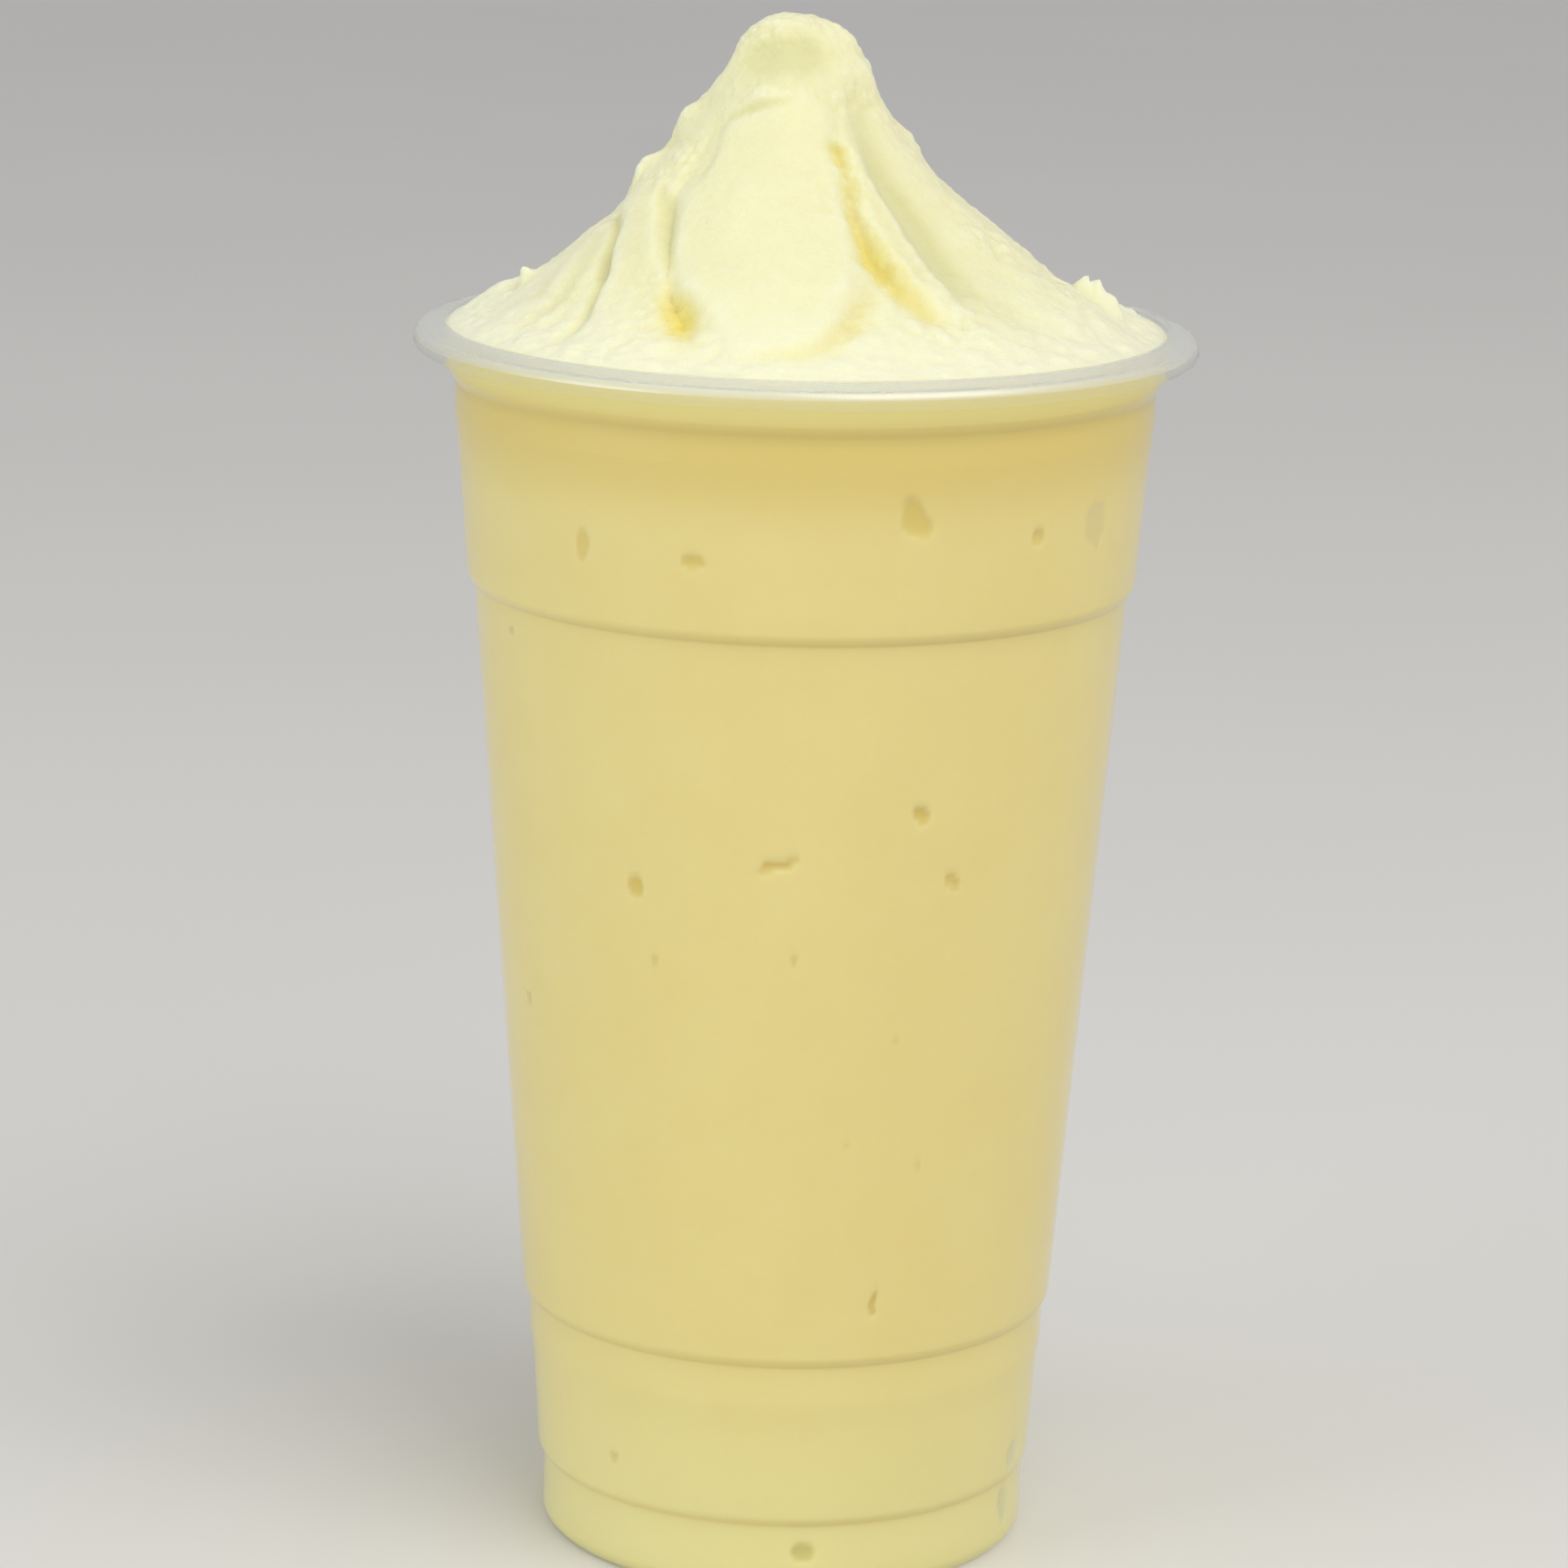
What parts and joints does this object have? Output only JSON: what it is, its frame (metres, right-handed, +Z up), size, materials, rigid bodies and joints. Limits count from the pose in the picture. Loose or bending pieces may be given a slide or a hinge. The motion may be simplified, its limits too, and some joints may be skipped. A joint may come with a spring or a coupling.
{
  "type": "banana smoothie in a clear cup",
  "caption": "Thick pale yellow banana smoothie heaped in a soft peak above the rolled lip of a tall clear tapered plastic cup.",
  "frame": {"origin": "on the table, at the middle of the cup's foot", "axes": "+Z up along the cup's axis, -Y towards the front that the camera sees, +X to the right of that view"},
  "size_m": [0.098, 0.098, 0.1959],
  "materials": {
    "clear_plastic": "clear and glossy",
    "smoothie": "frosty blended drink, soft satin"
  },
  "bodies": {
    "root": {"cup": "clear_plastic", "smoothie": "smoothie"}
  },
  "joints": []
}
